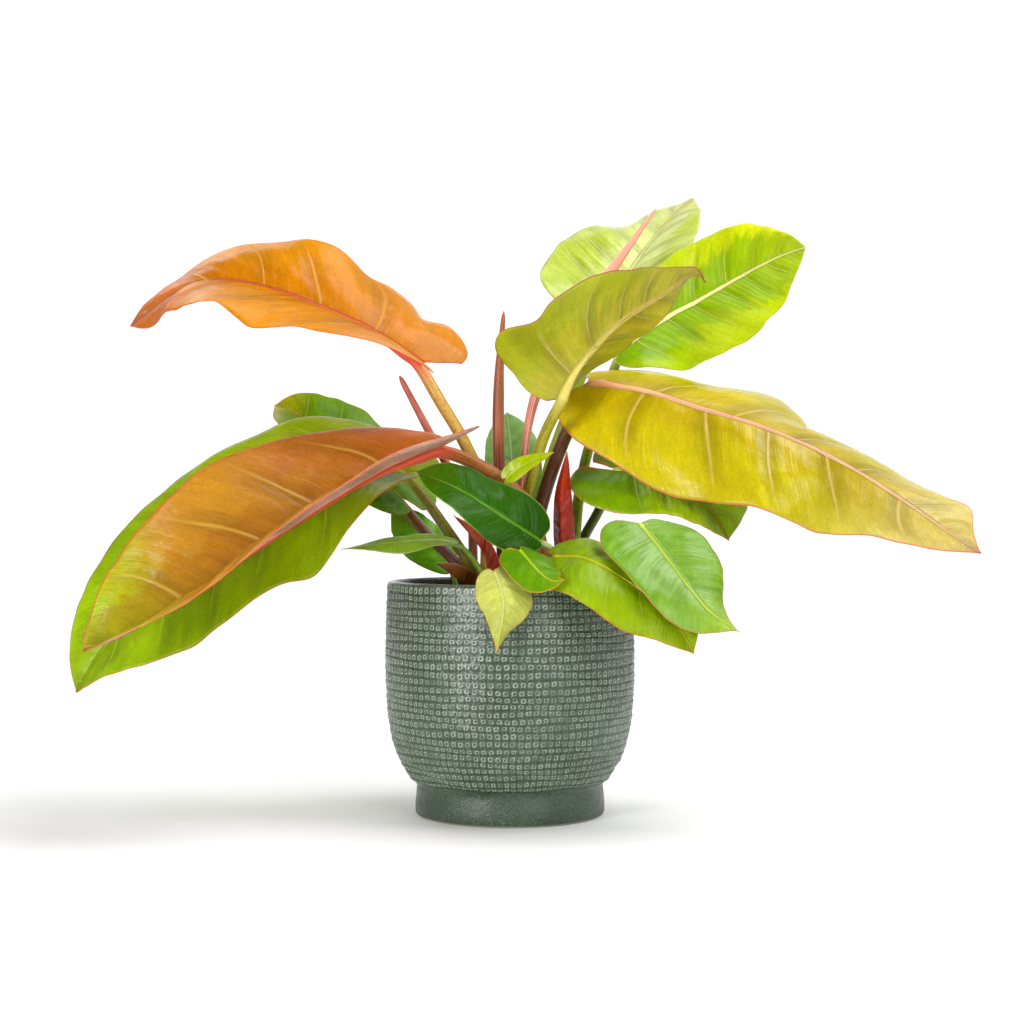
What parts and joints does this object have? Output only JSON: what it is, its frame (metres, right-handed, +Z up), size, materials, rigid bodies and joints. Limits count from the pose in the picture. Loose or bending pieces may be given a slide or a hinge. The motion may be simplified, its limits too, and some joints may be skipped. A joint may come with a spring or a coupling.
{
  "type": "potted prince of orange philodendron",
  "caption": "House plant with broad orange, yellow and green leaves on long stalks, rooted in a nursery pot inside a round glazed cover pot with a smooth foot.",
  "frame": {"origin": "middle of the cover pot's foot, on the surface it stands on", "axes": "+Z up along the pot's axis, +X to the right and +Y away, seen from the plant's front"},
  "size_m": [0.5659, 0.317, 0.4235],
  "materials": {
    "cover_pot": "semi-gloss sage green glaze over raised squares",
    "nursery_pot": "matte black",
    "potting_soil": "matte, dark and crumbly",
    "stem_left": "satin stalk",
    "stem_right": "satin stalk",
    "stem_front": "satin stalk",
    "blade_orange_high_left": "glossy leaf",
    "stalk_orange_high_left": "satin stalk",
    "blade_orange_low_left": "glossy leaf",
    "stalk_orange_low_left": "satin stalk",
    "blade_green_low_left": "glossy leaf",
    "stalk_green_low_left": "satin stalk",
    "blade_green_back_left": "glossy leaf",
    "stalk_green_back_left": "satin stalk",
    "blade_lime_high_back": "glossy leaf",
    "stalk_lime_high_back": "satin stalk",
    "blade_lime_high_right": "glossy leaf",
    "stalk_lime_high_right": "satin stalk",
    "blade_olive_high_front": "glossy leaf",
    "stalk_olive_high_front": "satin stalk",
    "blade_yellow_right": "glossy leaf",
    "stalk_yellow_right": "satin stalk",
    "blade_green_right": "glossy leaf",
    "stalk_green_right": "satin stalk",
    "blade_green_front_right": "glossy leaf",
    "stalk_green_front_right": "satin stalk",
    "blade_green_rim_right": "glossy leaf",
    "stalk_green_rim_right": "satin stalk",
    "blade_dark_front": "glossy leaf",
    "stalk_dark_front": "satin stalk",
    "blade_small_front": "glossy leaf",
    "stalk_small_front": "satin stalk",
    "blade_pale_hanging": "glossy leaf",
    "stalk_pale_hanging": "satin stalk",
    "blade_narrow_left": "glossy leaf",
    "stalk_narrow_left": "satin stalk",
    "blade_small_back_left": "glossy leaf",
    "stalk_small_back_left": "satin stalk",
    "blade_narrow_middle": "glossy leaf",
    "stalk_narrow_middle": "satin stalk",
    "blade_small_back_middle": "glossy leaf",
    "stalk_small_back_middle": "satin stalk",
    "spear_middle": "satin stalk",
    "spear_left": "satin stalk",
    "spear_tall": "satin stalk",
    "sheath_red_right": "satin sheath",
    "sheath_red_left": "satin sheath",
    "sheath_dry_rim": "satin sheath"
  },
  "bodies": {
    "root": {"cover_pot": "cover_pot", "nursery_pot": "nursery_pot", "potting_soil": "potting_soil", "stem_left": "stem_left", "stem_right": "stem_right", "stem_front": "stem_front", "blade_orange_high_left": "blade_orange_high_left", "stalk_orange_high_left": "stalk_orange_high_left", "blade_orange_low_left": "blade_orange_low_left", "stalk_orange_low_left": "stalk_orange_low_left", "blade_green_low_left": "blade_green_low_left", "stalk_green_low_left": "stalk_green_low_left", "blade_green_back_left": "blade_green_back_left", "stalk_green_back_left": "stalk_green_back_left", "blade_lime_high_back": "blade_lime_high_back", "stalk_lime_high_back": "stalk_lime_high_back", "blade_lime_high_right": "blade_lime_high_right", "stalk_lime_high_right": "stalk_lime_high_right", "blade_olive_high_front": "blade_olive_high_front", "stalk_olive_high_front": "stalk_olive_high_front", "blade_yellow_right": "blade_yellow_right", "stalk_yellow_right": "stalk_yellow_right", "blade_green_right": "blade_green_right", "stalk_green_right": "stalk_green_right", "blade_green_front_right": "blade_green_front_right", "stalk_green_front_right": "stalk_green_front_right", "blade_green_rim_right": "blade_green_rim_right", "stalk_green_rim_right": "stalk_green_rim_right", "blade_dark_front": "blade_dark_front", "stalk_dark_front": "stalk_dark_front", "blade_small_front": "blade_small_front", "stalk_small_front": "stalk_small_front", "blade_pale_hanging": "blade_pale_hanging", "stalk_pale_hanging": "stalk_pale_hanging", "blade_narrow_left": "blade_narrow_left", "stalk_narrow_left": "stalk_narrow_left", "blade_small_back_left": "blade_small_back_left", "stalk_small_back_left": "stalk_small_back_left", "blade_narrow_middle": "blade_narrow_middle", "stalk_narrow_middle": "stalk_narrow_middle", "blade_small_back_middle": "blade_small_back_middle", "stalk_small_back_middle": "stalk_small_back_middle", "spear_middle": "spear_middle", "spear_left": "spear_left", "spear_tall": "spear_tall", "sheath_red_right": "sheath_red_right", "sheath_red_left": "sheath_red_left", "sheath_dry_rim": "sheath_dry_rim"}
  },
  "joints": []
}
